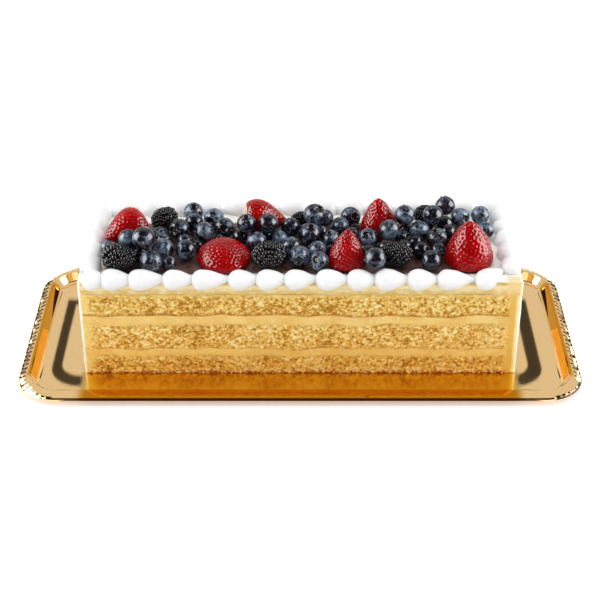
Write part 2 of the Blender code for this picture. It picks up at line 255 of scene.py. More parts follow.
class Wire:
    """A node's output that can be used in sums."""

    def __init__(self, finish, socket):
        self.finish = finish
        self.socket = socket

    __add__ = sums("ADD")
    __radd__ = sums("ADD", reflected=True)
    __sub__ = sums("SUBTRACT")
    __rsub__ = sums("SUBTRACT", reflected=True)
    __mul__ = sums("MULTIPLY")
    __rmul__ = sums("MULTIPLY", reflected=True)
    __abs__ = sums("ABSOLUTE")
    or_more = sums("MAXIMUM")

    def step(self, start, end):
        """0 before start, 1 after end, and smooth between."""
        sockets = {"Value": self, "From Min": start, "From Max": end}
        settings = {"interpolation_type": "SMOOTHSTEP"}
        return self.finish.node("ShaderNodeMapRange", settings, sockets)


def fill_ramp(ramp, stops):
    """Gives a colour ramp its (place, colour) stops."""
    ramp.elements[0].position, ramp.elements[0].color = stops[0]
    ramp.elements[1].position, ramp.elements[1].color = stops[-1]
    for place, tone in stops[1:-1]:
        ramp.elements.new(place).color = tone


class Finish:
    """One material and the nodes in it."""

    def __init__(self, name):
        self.material = bpy.data.materials.new(name)
        self.material.use_nodes = True
        self.tree = self.material.node_tree
        self.place = self.node("ShaderNodeTexCoord", output="Object")

    def node(self, kind, settings=None, sockets=None, output=0):
        """Makes a node, sets it up, fills its sockets, and returns one of its outputs."""
        made = self.tree.nodes.new(kind)
        for key, value in (settings or {}).items():
            if key == "stops":
                fill_ramp(made.color_ramp, value)
            else:
                setattr(made, key, value)
        for key, value in (sockets or {}).items():
            self.feed(made.inputs[key], value)
        return Wire(self, made.outputs[output])

    def feed(self, socket, value):
        """Links a wire to a socket, or sets the socket's own value."""
        if isinstance(value, Wire):
            self.tree.links.new(value.socket, socket)
        else:
            socket.default_value = value

    def stretched(self, scale):
        """Where a point is on the cake in metres, with each axis scaled on its own."""
        settings = {"operation": "MULTIPLY"}
        return self.node("ShaderNodeVectorMath", settings, {0: self.place, 1: scale})

    def parts(self):
        """Where a point is on the cake: x, y and z in millimetres."""
        place = self.stretched((1 / MM, 1 / MM, 1 / MM))
        split = self.node("ShaderNodeSeparateXYZ", None, {0: place}).socket.node
        return [Wire(self, socket) for socket in split.outputs]

    def kept(self, name):
        """A number that the mesh keeps for each point."""
        return self.node("ShaderNodeAttribute", {"attribute_name": name}, output="Fac")

    def noise(self, scale, detail=2.0, roughness=0.5, stretch=None):
        """Smooth noise from 0 to 1, with its lumps 1 / scale metres apart."""
        vector = self.stretched(stretch) if stretch else self.place
        sockets = {"Vector": vector, "Scale": scale, "Detail": detail, "Roughness": roughness}
        return self.node("ShaderNodeTexNoise", None, sockets)

    def cells(self, scale):
        """How far the nearest of many scattered points is, in cells."""
        return self.node("ShaderNodeTexVoronoi", None, {"Vector": self.place, "Scale": scale})

    def mix(self, share, first, second, blend="MIX"):
        """One colour over another, by a share from 0 to 1."""
        settings = {"data_type": "RGBA", "blend_type": blend}
        return self.node("ShaderNodeMix", settings, {0: share, 6: first, 7: second}, 2)

    def mottled(self, scale, detail, first, second):
        """Two colours in soft patches."""
        return self.mix(self.noise(scale, detail), first, second)

    def ramp(self, value, stops):
        """A colour from a scale of colours."""
        return self.node("ShaderNodeValToRGB", {"stops": stops}, {0: value})

    def bump(self, height, distance, strength=1.0):
        """A normal for relief whose height of 1 stands for a distance in metres."""
        sockets = {"Height": height, "Distance": distance, "Strength": strength}
        return self.node("ShaderNodeBump", None, sockets)

    def surface(self, **sockets):
        """Sets the sockets of the main shader and returns the material."""
        shader = self.tree.nodes["Principled BSDF"]
        for key, value in sockets.items():
            self.feed(shader.inputs[key.replace("_", " ")], value)
        return self.material


def shade(red, green, blue):
    """A screen colour from 0 to 255 as the shader's own linear colour."""
    linear = []
    for value in (red, green, blue):
        share = value / 255
        curved = ((share + 0.055) / 1.055) ** 2.4
        linear.append(curved if share > 0.04045 else share / 12.92)
    return (*linear, 1.0)


def paint(piece, finish):
    """Gives the piece one finish all over."""
    piece.data.materials.clear()
    piece.data.materials.append(finish)


def dress(piece, finish, slot, *nodes):
    """Gives the piece its finish, hangs it from the root, and hides the solids it stands for, if
    any.
    """
    paint(piece, finish)
    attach(piece, "root")
    if nodes:
        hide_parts(*nodes)


# %% [markdown]
# ## The camera
# The cake is seen from straight in front and from about 33 degrees above, through a long
# lens, so that its sides run nearly parallel.

# %% Place the camera
AIM = Vector((-0.1, 0, 31.3)) * MM
DISTANCE = 1051.2 * MM
ELEVATION = math.radians(33.17)

back = Vector((0, -math.cos(ELEVATION), math.sin(ELEVATION)))
bpy.ops.object.camera_add(
    location=AIM + back * DISTANCE, rotation=(math.pi / 2 - ELEVATION, 0, 0)
)
camera = bpy.context.object
camera.data.lens = 86.9
camera.data.sensor_width = 36
bpy.context.scene.camera = camera
print("camera at", camera.location)

# %% [markdown]
# ## The tray
# The tray is card with gold foil, pressed in a mould: a flat floor, a slope, a lip, and an
# outer edge that rolls over in fine pleats. It could be cut from a block, but pressed card
# has one thickness all over. So a thin sheet is shaped ring by ring, from the outline
# inwards, and only then gets its thickness.

# %% Draw the tray's outline
TRAY_LENGTH = 396 * MM
TRAY_WIDTH = 172 * MM
TRAY_CORNER = 30 * MM
EDGE_HEIGHT = 4.6 * MM
PLEATS_ROUND_CORNER = 38

tray = start_with(
    add_plane, "gilt_tray", (TRAY_LENGTH, TRAY_WIDTH, 1), location=(0, 0, EDGE_HEIGHT)
)
mark(tray, "VERT")
bpy.ops.mesh.bevel(offset=TRAY_CORNER, affect="VERTICES", segments=PLEATS_ROUND_CORNER)
leave()


def run_of(piece, edge):
    """From one end of an edge to the other."""
    first, second = (piece.data.vertices[i].co for i in edge.vertices)
    return second - first


def split_edges(piece, longer, shorter, cuts):
    """Cuts each edge of a length between the two into equal parts."""
    mark(piece, "EDGE", lambda edge: longer > run_of(piece, edge).length > shorter)
    bpy.ops.mesh.subdivide(number_cuts=cuts)
    leave()


mark(tray, "FACE")
bpy.ops.mesh.delete(type="ONLY_FACE")
leave()
for longest, shortest, cuts in ((1000, 200, 9), (40, 30, 26), (200, 100, 9), (15, 8, 8)):
    split_edges(tray, longest * MM, shortest * MM, cuts)
mark(tray, "EDGE")
bpy.ops.mesh.edge_face_add()
leave()
if tray.data.polygons[0].normal.z < 0:
    mark(tray, "FACE")
    bpy.ops.mesh.flip_normals()
    leave()
print("outline points:", len(tray.data.vertices))

# %% Press the rings
# Each ring is (how far in from the last one, how far up), in millimetres.
ROLLED_EDGE = ((0.15, 0.7), (0.25, 0.7), (0.5, 0.5))
LIP = ((1.5, 0.45), (2.2, 0.5), (2.2, 0.4), (2.15, 0.15), (0.5, -0.15), (0.5, -0.55))
SLOPE = ((2.9, -4.2), (0.5, -0.5), (0.8, -0.35), (1.2, -0.25), (1.5, 0), (3.0, 0))

outline = [tray.data.vertices[i].co.copy() for i in tray.data.polygons[0].vertices]
mark(tray, "FACE")
for inwards, upwards in ROLLED_EDGE + LIP + SLOPE:
    bpy.ops.mesh.inset(thickness=inwards * MM, depth=0)
    bpy.ops.transform.translate(value=(0, 0, upwards * MM))
leave()
floor_height = min(point.co.z for point in tray.data.vertices)
print("tray floor at", round(floor_height / MM, 2), "mm, faces:", faces_of(tray))

# %% [markdown]
# The pleats are folds pressed into the rolled edge. They run straight in from the outline, so
# each point of the rings belongs to the nearest point of it. Every fourth one goes down: deep
# at the ends and round the corners, where the card gathers, and hardly on the long sides.

# %% Fold the pleats
PLEAT_DEPTH = 1.6 * MM
END_DROP = 1.9 * MM
FOLDED = 6.2 * MM
FOLD_START = 1.2 * MM
ENDS_FROM = 176 * MM
CORNERS_FROM = 150 * MM
LONG_SIDES_FROM = 66 * MM
END_SLOPE = 16 * MM
FRONT_CORNER = -56 * MM
CORNER_SLOPE = 14 * MM
SHALLOW = 0.3
KEPT_ON_LONG_SIDES = 0.12

chance = random.Random(4)
fold_depths = []
for i, point in enumerate(outline):
    if i % 4 == 0:
        deep = chance.uniform(0.7, 1.1)
        if abs(point.y) > LONG_SIDES_FROM:
            deep = SHALLOW
        if abs(point.x) < ENDS_FROM:
            kept = chance.random() < KEPT_ON_LONG_SIDES and abs(point.x) > CORNERS_FROM
            deep = SHALLOW if kept else 0
    fold_depths.append(deep * (1, 0.5, 0, 0.5)[i % 4])
nearest = tree_of([(point.x, point.y, 0) for point in outline])


def fold_weight(place):
    """How far down a fold takes a point: less the farther in it is, and less at the edge."""
    _, i, distance = nearest.find((place.x, place.y, 0))
    start = min(1, 0.3 + 0.7 * distance / FOLD_START)
    return fold_depths[i] * start * max(0, 1 - distance / FOLDED) ** 0.7


def end_weight(place):
    """How far the rim drops to its edge: only at the ends, and not at the right front."""
    spot, _, distance = nearest.find((place.x, place.y, 0))
    end = min(1, max(0, (abs(spot[0]) - ENDS_FROM) / END_SLOPE))
    near = min(1, max(0, (FRONT_CORNER - spot[1]) / CORNER_SLOPE))
    if spot[0] > 0:
        end = end * (1 - near)
    return end * max(0, 1 - distance / FOLDED)


folds = group_of(tray, "folds", fold_weight)
drop = group_of(tray, "drop", end_weight)
for group, depth in ((folds, PLEAT_DEPTH), (drop, END_DROP)):
    finish_with(tray, "DISPLACE", direction="Z", mid_level=0, strength=-depth, vertex_group=group)

CARD = 1.6 * MM
# How far in from the outline and how far forward the edge is painted dark, as shade.
DARK_EDGE_REACH = 1.9 * MM
DARK_EDGE_CORNER = -54 * MM
tray.data.materials.append(None)
tray.data.materials.append(None)
finish_with(
    tray, "SOLIDIFY", thickness=CARD, offset=-1, material_offset=1, material_offset_rim=1
)
smooth(tray, 28)


def dark_edge_shade_place(place):
    """One where the foil is painted dark, as shade, round the right front corner; else nothing."""
    spot, _, distance = nearest.find((place.x, place.y, 0))
    return float(distance < DARK_EDGE_REACH and spot[0] > ENDS_FROM and spot[1] < DARK_EDGE_CORNER)


store(tray, "rubbed", dark_edge_shade_place)
mark(tray, "FACE", lambda face: abs(face.normal.z) > 0.9999)
bpy.ops.mesh.faces_shade_flat()
leave()
print("tray faces:", faces_of(tray))

# %% [markdown]
# Gold foil is a mirror that isn't quite flat: beige where it shows the pale room once. Deep
# orange, where it would show itself or the cake, is painted reflection: on the slopes at the
# ends, and along the cake's length, deepest on the front and back lips. Very low relief, finer
# across the tray than along it, roughens the borders of what it shows. Along the cake's foot
# it is greasy and dull. A dark patch on the edge round the right front corner is painted
# shade. The underside and the cut edge are plain grey card.

# %% Gild the tray
gilt = Finish("gilt_card")
x, y = gilt.parts()[:2]
ripple = gilt.noise(150, 3, stretch=(0.6, 9, 1))
swell = gilt.noise(14, 1)
scuff = gilt.noise(420, 4, 0.7)
relief = ripple * 0.03 + swell * 0.3
foil = gilt.mix(scuff.step(0.35, 0.75), (0.98, 0.66, 0.31, 1), (0.95, 0.63, 0.29, 1))
end = abs(x)
side = abs(y)
# Painted reflection: the slopes at the ends are tinted deep orange.
slope = end.step(184, 185.5) * (1 - end.step(190.5, 192)) * (1 - side.step(57, 64))
foil = gilt.mix(slope, foil, (0.72, 0.29, 0.002, 1))
# Painted reflection of the cake: deeper gold along the cake's length, deep orange on the front and
# back lips.
fronting = 1 - end.step(147, 156)
greasy = fronting * (1 - side.step(66, 75))
foil = gilt.mix(fronting, foil, (0.82, 0.53, 0.07, 1))
foil = gilt.mix(fronting * side.step(75, 79), foil, (0.61, 0.21, 0.008, 1))
# Painted shade: the edge round the right front corner is nearly black, so it shows no bright
# reflection.
foil = gilt.mix(gilt.kept("rubbed"), foil, (0.09, 0.06, 0.035, 1))
gold = gilt.surface(
    Base_Color=foil,
    Metallic=1.0,
    Roughness=0.015 + scuff * 0.025 + greasy * 0.18,
    Normal=gilt.bump(relief, 0.06 * MM),
)
card = Finish("grey_card")
fibre = card.noise(900, 3, stretch=(1, 1, 4))
plain_card = card.surface(
    Base_Color=card.mix(fibre, shade(176, 168, 154), shade(206, 200, 188)),
    Roughness=0.8,
    Normal=card.bump(fibre, 0.1 * MM),
)
dress(tray, gold, "gilt_card", "cake_board")
tray.data.materials.append(plain_card)

# %% [markdown]
# ## Sponge and custard
# The cake is five slabs, cut through at the front and the back. A knife tears soft sponge:
# crumbs stand out and holes open, while custard is only smeared. So the cut faces are fine
# grids, whose points really move inwards, by cloudy patterns of three sizes.

# %% Measure the layers
FOOT = 2.3 * MM
CAKE_LOW = Vector((-152.5, -50, 2.3)) * MM
CAKE_HIGH = Vector((152.5, 50, 78.3)) * MM
LEFT_COAT = 3 * MM
RIGHT_COAT = 8 * MM
GAP = 0.3 * MM
GRID = 0.5 * MM
LAYERS = {
    "sponge_bottom": (0, 15),
    "custard_lower": (15, 20.5),
    "sponge_middle": (20.5, 41),
    "custard_upper": (41, 48),
    "sponge_top": (48, 65.6),
}

LINE_WANDER = 4.5 * MM
wander = cloud("layer_lines", 20 * MM, 1)
hollows = cloud("hollows", 9 * MM, 1)
lumps = cloud("lumps", 2.4 * MM, 2, 1.7)
specks = cloud("specks", 1.1 * MM, 0, 1.5)
smears = cloud("smears", 7 * MM, 2)


def line_weight(place):
    """How much the lines between layers wander: nothing at the foot and the top."""
    rise = (place.z - FOOT) / MM
    return max(0, min(1, (rise - 1) / 8, (64 - rise) / 8))


def bite_weight(place):
    """How deep the knife tears: less along the coat, which holds the crumb together."""
    rise = (place.z - FOOT) / MM
    left = (place.x - CAKE_LOW.x - LEFT_COAT) / MM
    right = (CAKE_HIGH.x - RIGHT_COAT - place.x) / MM
    return max(0.15, min(1, left / 6, right / 3, (65.5 - rise) / 2.5))


# %% Cut the layers
def cut_layer(name, foot, top, sponge):
    """A slab with torn or smeared cut faces at the front and the back."""
    low = CAKE_LOW.x + LEFT_COAT - GAP
    high = CAKE_HIGH.x - RIGHT_COAT + GAP
    length = high - low
    height = (top - foot) * MM
    middle = ((low + high) / 2, CAKE_LOW.y, FOOT + foot * MM + height / 2)
    piece = start_with(
        add_grid, name, (length, height, 1),
        x_subdivisions=round(length / GRID), y_subdivisions=round(height / GRID),
        location=middle, rotation=(math.pi / 2, 0, 0),
    )
    finish_with(piece, "SOLIDIFY", thickness=2 * CAKE_HIGH.y, offset=-1)
    store(piece, "rise", lambda place: (place.z - FOOT) / MM - foot)
    lines = group_of(piece, "lines", line_weight)
    front = group_of(piece, "front", lambda place: bite_weight(place) if place.y < 0 else 0)
    rear = group_of(piece, "rear", lambda place: bite_weight(place) if place.y > 0 else 0)
    displace(piece, wander, 0.5, LINE_WANDER, direction="Z", vertex_group=lines)
    bites = ((hollows, 0.7), (lumps, 1.5), (specks, 0.7)) if sponge else ((smears, 0.8),)
    for texture, bite in bites:
        for group, way in ((front, 1), (rear, -1)):
            deep = way * bite * MM
            displace(piece, texture, 0.35, deep, direction="Y", vertex_group=group)
    store(piece, "bite", lambda place: (CAKE_HIGH.y - abs(place.y)) / MM)
    smooth(piece, 80)
    return piece


slabs = {}
for node, (foot, top) in LAYERS.items():
    slabs[node] = cut_layer(node + "_cut", foot, top, "sponge" in node)
    print(node, "faces:", faces_of(slabs[node]))

# %% [markdown]
# Baked crumb is brown only where it touched the tin. Its holes and low relief are painted
# darker gold and its raised crumbs paler, as painted shade. Each sponge was baked upside
# down here, so its brown skin is at its foot: strong on the bottom one, a broken line on the
# top one, hardly there on the middle one.


# %% Bake the sponges
def painted_tray_light(z):
    """How much painted golden light from the tray a point gets: less the higher it is."""
    return 1 - z.step(4, 52)


def bake(name, lid, skin, skin_shade, broken, holes):
    """Crumb up to a height, with a brown skin at its foot: how thick and how broken it is."""
    crumb = Finish(name)
    x, _, z = crumb.parts()
    lump = crumb.noise(430, 4, 0.6, stretch=(0.8, 1, 1.1))
    grain = crumb.cells(480)
    patch = crumb.noise(70, 2)
    bite = crumb.kept("bite")
    # Painted shade: lower relief and points deeper in from the cut face are darker.
    tone = lump * 1.6 - grain * 0.5 + patch * 0.5 - holes - bite * 0.06
    base = crumb.ramp(
        tone,
        (
            (0.16, shade(176, 118, 28)),
            (0.36, shade(222, 174, 76)),
            (0.54, shade(242, 208, 120)),
            (0.80, shade(255, 246, 196)),
        ),
    )
    # Painted golden light from the tray, stronger lower down.
    warm = crumb.mix(painted_tray_light(z) * 0.42, base, shade(255, 212, 78), "MULTIPLY")
    smear = crumb.noise(220, 3, stretch=(1, 1, 0.5))
    from_left = x - (CAKE_LOW.x + LEFT_COAT) / MM + (smear - 0.5) * 9
    from_right = (CAKE_HIGH.x - RIGHT_COAT) / MM - x + (smear - 0.5) * 6
    edge = 1 - from_left.step(1, 9) * from_right.step(0, 4)
    rise = crumb.kept("rise")
    creamy = (z + (smear - 0.5) * 9).step(lid - 3.6, lid)
    warm = crumb.mix(creamy * 0.7, warm, shade(228, 194, 114))
    pressed = 1 - (rise + (smear - 0.5) * 9).step(0.2, 2.6)
    warm = crumb.mix(pressed * 0.5 * z.step(18, 20), warm, shade(230, 188, 100))
    wall = crumb.mix(x.step(-10, 10), shade(246, 216, 126), shade(238, 194, 84))
    warm = crumb.mix(edge * 0.8, warm, wall)
    ragged = crumb.noise(420, 4, 0.65, stretch=(1, 1, 0.4))
    dotted = crumb.noise(230, 2)
    line = rise + (ragged - 0.5) * 9
    spots = 1 - (1 - dotted.step(0.42, 0.56)) * broken
    browned = (1 - line.step(skin * 0.4, skin * 1.3)) * spots
    colour = crumb.mix(browned * 0.9, warm, skin_shade)
    hanging = crumb.noise(480, 2).step(0.50, 0.58) * (1 - z.step(6, 7.5))
    colour = crumb.mix(hanging * 0.8, colour, shade(255, 222, 150))
    fine = crumb.noise(1300, 3, 0.7)
    return crumb.surface(
        Base_Color=colour,
        Roughness=0.75,
        Subsurface_Weight=0.1,
        Subsurface_Radius=(1.0, 0.6, 0.25),
        Subsurface_Scale=0.8 * MM,
        Specular_IOR_Level=0.2,
        Normal=crumb.bump(lump * (1 - edge * 0.7) + fine * 0.4, 0.9 * MM, 0.9),
    )


BOTTOM_SKIN = shade(184, 88, 20)
TOP_SKIN = shade(188, 116, 40)
crumbs = {
    "bottom": (18, 1.9, BOTTOM_SKIN, 0.3, 0.31),
    "middle": (44, 0.1, TOP_SKIN, 1.0, 0.31),
    "top": (67.6, 2.0, TOP_SKIN, 0.6, 0.35),
}
for layer, look in crumbs.items():
    node = "sponge_" + layer
    dress(slabs[node], bake("crumb_" + layer, *look), "sponge_crumb", node)

# %% [markdown]
# Custard is smooth, a little moist and slightly see-through. The knife drags it along the
# cake, so its only marks are long shallow streaks and a few crumbs carried into it.

# %% Pour the custard
custard = Finish("custard_filling")
streak = custard.noise(320, 3, stretch=(0.18, 1, 1))
blot = custard.noise(60, 2)
stray = custard.noise(380, 4, 0.6).step(0.54, 0.70)
tone = custard.mix(blot.step(0.3, 0.7), shade(232, 190, 98), shade(240, 208, 126))
tone = custard.mix(stray * 0.7, tone, shade(250, 232, 164))
# Painted golden light from the tray, stronger lower down.
glow = painted_tray_light(custard.parts()[2])
tone = custard.mix(glow * 0.25, tone, shade(255, 216, 84), "MULTIPLY")
filling = custard.surface(
    Base_Color=tone,
    Roughness=0.42 + streak * 0.15,
    Subsurface_Weight=0.25,
    Subsurface_Radius=(1.0, 0.7, 0.3),
    Subsurface_Scale=2 * MM,
    Normal=custard.bump(streak + stray, 0.3 * MM, 0.7),
)
for node in ("custard_lower", "custard_upper"):
    dress(slabs[node], filling, "custard_filling", node)

# %% [markdown]
# ## The coat of cream
# One layer of whipped cream covers the top and both ends, and was cut with the cake. It is
# like a bridge: a slab, from whose two ends the walls are extruded down to the tray. Its
# corners are bevelled as a spatula leaves them, and then it gets a little uneven.

# %% Spread the coat
TOP_COAT = 11 * MM
LINING = CAKE_HIGH.z - TOP_COAT + GAP
ROUNDED = 1.6 * MM
UNEVEN = 0.9 * MM

size = (*(CAKE_HIGH - CAKE_LOW).xy, CAKE_HIGH.z - LINING)
middle = (0, 0, (LINING + CAKE_HIGH.z) / 2)
coat = start_with(add_cube, "spread_cream", size, location=middle)
for wall in (CAKE_LOW.x + LEFT_COAT, CAKE_HIGH.x - RIGHT_COAT):
    mark(coat, "FACE")
    bpy.ops.mesh.bisect(plane_co=(wall, 0, 0), plane_no=(1, 0, 0))
    leave()


def under_an_end(face):
    """True for the two small faces under the slab's ends."""
    outer = face.center.x < CAKE_LOW.x + LEFT_COAT or face.center.x > CAKE_HIGH.x - RIGHT_COAT
    return outer and face.normal.z < -0.9


mark(coat, "FACE", under_an_end)
down = (0, 0, FOOT - LINING)
bpy.ops.mesh.extrude_region_move(TRANSFORM_OT_translate={"value": down})
leave()


def outer_edge(edge):
    """True for the edges round the top and up the four corners."""
    ends = [coat.data.vertices[i].co for i in edge.vertices]
    on_top = all(end.z > CAKE_HIGH.z - GAP for end in ends)
    on_side = all(abs(end.y) > CAKE_HIGH.y - GAP for end in ends)
    on_end = all(abs(end.x) > CAKE_HIGH.x - GAP for end in ends)
    return (on_top and (on_side or on_end)) or (on_end and abs(run_of(coat, edge).z) > 5 * MM)


mark(coat, "EDGE", outer_edge)
bpy.ops.mesh.bevel(offset=ROUNDED, segments=4, profile=0.5)
leave()


def runs_along(edge, axis, shortest):
    """True for an edge along an axis that is longer than so many millimetres."""
    run = run_of(coat, edge)
    return abs(run[axis]) > max(shortest * MM, 0.9 * run.length)


for axis, shortest, cuts in ((0, 100, 99), (1, 60, 49), (2, 30, 37), (0, 2.5, 2)):
    mark(coat, "EDGE", lambda edge: runs_along(edge, axis, shortest))
    bpy.ops.mesh.subdivide(number_cuts=cuts)
    leave()
face_outwards(coat)
displace(coat, cloud("spread", 11 * MM), 1, UNEVEN)
smooth(coat, 60)
print("coat faces:", faces_of(coat))

# %% [markdown]
# Cream is white on its skin. Where it is cut it takes up the yellow of the cake, so the
# finish turns yellow with the distance from the skin. Under the fruit it is painted dark, as
# shade between the berries with some juice stain. Light goes into cream and comes out
# nearby, which softens every edge.

# %% Colour the coat
whipped = Finish("whipped_cream")
x, y, z = whipped.parts()
ragged = whipped.noise(200, 4, 0.6)
from_left = x - CAKE_LOW.x / MM
from_right = CAKE_HIGH.x / MM - x
from_top = CAKE_HIGH.z / MM - z
wobble = (ragged - 0.5) * 3
white_left = 1 - (from_left + wobble).step(0.6, 3.2)
white_right = 1 - (from_right + wobble).step(1.4, 2.6)
white_top = (1 - (from_top + wobble).step(1.2, 3.0)) * (1 - abs(y).step(48.6, 49.6))
white = white_left.or_more(white_right).or_more(white_top)
smear = whipped.noise(300, 4, 0.6, stretch=(0.4, 1, 1))
depth = (from_top + wobble * 1.3).step(3, 8.5)
cut = whipped.mix(depth, shade(240, 226, 182), shade(222, 188, 110))
cut = whipped.mix(1 - from_top.step(1.5, 4.5), cut, shade(206, 168, 84))
cut = whipped.mix(smear.step(0.40, 0.66) * 0.6, cut, shade(246, 234, 188))
below = from_top.step(8, 14)
cut = whipped.mix(below * 0.95, cut, shade(232, 184, 80))
pale_band = (1 - (from_right + wobble).step(3.0, 4.6)) + (1 - (from_left + wobble).step(2, 4))
cut = whipped.mix(pale_band * below * 0.8, cut, shade(248, 232, 172))
stained = (1 - from_right.step(10, 13)) * (1 - y.step(-44, -40)) * (1 - from_top.step(9, 12))
stained = stained * from_right.step(1, 2.5)
body = whipped.mix(white, cut, shade(252, 249, 240))
body = whipped.mix(stained * smear.step(0.3, 0.55) * 0.85, body, shade(236, 208, 140))
# Painted shade under the heap of fruit, with some juice stain: the bed is dark where gaps show.
along = abs(x + 4)
inner = abs(y + 4)
under = (1 - (along + wobble * 3).step(126, 133)) * (1 - (inner + wobble * 3).step(33, 38))
shade_and_juice = whipped.mix(ragged.step(0.35, 0.6), shade(70, 46, 44), shade(112, 84, 76))
body = whipped.mix(under * (1 - from_top.step(2, 4)), body, shade_and_juice)
cream = whipped.surface(
    Base_Color=body,
    Roughness=0.5,
    Subsurface_Weight=0.5,
    Subsurface_Radius=(1.0, 0.8, 0.5),
    Subsurface_Scale=4 * MM,
    Normal=whipped.bump(smear + ragged, 0.35 * MM, 0.6),
)
dress(coat, cream, "whipped_cream", "cream_coat")

# %% [markdown]
# ## The piped border
# A round nozzle is squeezed, so that a ball of cream swells, and drawn away along the edge
# while the pressure drops, which leaves a tail. The next ball covers the tail's end. One such
# blob is turned up, and its copies are laid round the cake, each with its tail stretched to
# reach the next head.

# %% Pipe one blob
HEAD_RADIUS = 7.5 * MM
HEAD_STATIONS = 11
TAIL_STATIONS = 14


def tail_radius(share):
    """The blob's radius along its tail, as a share of the head's."""
    return max(0.03, math.cos(math.pi / 2 * share) ** 1.55)


slopes = [math.radians(-86 + 86 * i / HEAD_STATIONS) for i in range(HEAD_STATIONS)]
shares = [i / TAIL_STATIONS for i in range(TAIL_STATIONS + 1)]
tail = [(share, HEAD_RADIUS * tail_radius(share)) for share in shares]
blob = turn_up("blob", 28, arc(slopes, HEAD_RADIUS, HEAD_RADIUS) + tail)
smooth(blob, 80)
print("blob faces:", faces_of(blob))

# %% Pipe the border
FRONT_HEADS = (-142, -129, -110, -87, -67, -42, -23, -4, 18, 39, 58, 80, 100, 126)
RIGHT_HEADS = (-33, -16, 3, 20, 34)
BACK_HEADS = (144, 124, 103, 83, 61, 40, 20, -2, -22, -43, -65, -86, -108, -127)
LEFT_HEADS = (40, 24, 7, -12, -29)
FRONT_LINE = 48.5
BACK_LINE = 47.5
COLUMN_LINE = 145
TAIL_TURN = 2 * MM
ANY_TURN = 6.28

heads = [(x, -FRONT_LINE) for x in FRONT_HEADS]
heads += [(COLUMN_LINE, y) for y in RIGHT_HEADS]
heads += [(x, BACK_LINE) for x in BACK_HEADS]
heads += [(-COLUMN_LINE, y) for y in LEFT_HEADS]
heads = [Vector((x * MM, y * MM, CAKE_HIGH.z + MM)) for x, y in heads]
chance = random.Random(7)
blobs = []
for i, head in enumerate(heads):
    following = heads[(i + 1) % len(heads)]
    inward = Vector((-following.x, -following.y, 0)).normalized()
    run = following + inward * TAIL_TURN - head
    size = chance.uniform(0.95, 1.04)
    round_axis = Matrix.Rotation(chance.uniform(0, ANY_TURN), 4, "Z")
    laid = twin_of(blob, f"blob_{i}", round_axis)
    mark(laid, "VERT", lambda point: point.co.z > 0)
    bpy.ops.transform.resize(value=(1, 1, run.length), center_override=(0, 0, 0))
    leave()
    laid.data.transform(Matrix.Translation(head) @ facing(run) @ Matrix.Scale(size, 4))
    blobs.append(laid)
bpy.data.objects.remove(blob)
border = join(blobs, "piped_cream_border")
displace(border, cloud("softness", 8 * MM, 1), 0.6, 0.8 * MM)
print("border faces:", faces_of(border))

# %% Whiten the border
piped = Finish("piped_cream")
drag = piped.noise(300, 3)
# Painted shade: the lower parts of the blobs are greyer.
low = 1 - (piped.parts()[2] + (drag - 0.5) * 2).step(74, 84.5)
pale = piped.mottled(45, 2, shade(238, 239, 241), shade(246, 247, 248))
pale = piped.mix(low * 0.5, pale, shade(190, 197, 204))
stiff_cream = piped.surface(
    Base_Color=pale,
    Roughness=0.5,
    Subsurface_Weight=0.4,
    Subsurface_Radius=(1.0, 0.9, 0.7),
    Subsurface_Scale=3 * MM,
    Specular_IOR_Level=0.3,
    Normal=piped.bump(drag, 0.12 * MM, 0.5),
)
dress(border, stiff_cream, "piped_cream", "piped_border")

# %% [markdown]
# ## Blueberries
# A blueberry is a slightly flattened ball with a crown of five points round a sunken eye.
# It is turned up from its foot to the inside of the eye, and then the rim is lowered and
# drawn in at five places between the points.

# %% Grow one blueberry
BERRY_SIDES = 40
BALL_STATIONS = 17
FLATTEN = 0.96
CROWN_FROM = 0.72
# The crown's rim and the inside of its eye: (height, radius), as shares of the ball's radius
RIM = ((0.895, 0.40), (0.925, 0.405), (0.950, 0.425), (0.955, 0.40))
EYE = ((0.905, 0.355), (0.850, 0.335), (0.790, 0.29), (0.765, 0.20), (0.770, 0.09), (0.775, 0.02))
slopes = [math.radians(-87 + 149 * i / (BALL_STATIONS - 1)) for i in range(BALL_STATIONS)]
berry = turn_up("berry", BERRY_SIDES, [*arc(slopes, FLATTEN), *RIM, *EYE])


def between_points(place, width):
    """True within an angle of the five places between the crown's points."""
    angle = math.degrees(math.atan2(place.y, place.x)) % 72
    return abs(angle - 36) < width


def in_rim(place):
    """True for points of the crown's rim."""
    return place.z > 0.88 and 0.34 < place.xy.length < 0.44


for width, drop, draw in ((22, 0.035, 0.97), (13, 0.035, 0.95)):
    mark(berry, "VERT", lambda point: in_rim(point.co) and between_points(point.co, width))
    bpy.ops.transform.translate(value=(0, 0, -drop))
    bpy.ops.transform.resize(value=(draw, draw, 1), center_override=(0, 0, 0.9))
    leave()
for name, reach in (("crown", 0.45), ("eye", 0.37)):
    store(berry, name, lambda place: float(place.z > CROWN_FROM and place.xy.length < reach))
smooth(berry, 70)
print("blueberry faces:", faces_of(berry))

# %% [markdown]
# Each solid blueberry shows where its berry goes: the ball is in the middle of its box, and
# its crown looks towards the point of the solid that is nearest to that middle.


# %% Read where a berry sits
def vertices_of(node):
    """A solid's points, as rows of x, y and z."""
    return np.array([point.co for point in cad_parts[node].data.vertices])


def ball_of(node):
    """A blueberry's middle, radius and the way that its crown looks."""
    low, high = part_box(node)
    middle = (low + high) / 2
    radius = max(high - low) / 2
    points = vertices_of(node) - np.array(middle)
    crown = Vector(points[np.argmin(np.linalg.norm(points, axis=1))]).normalized()
    return middle, radius, crown


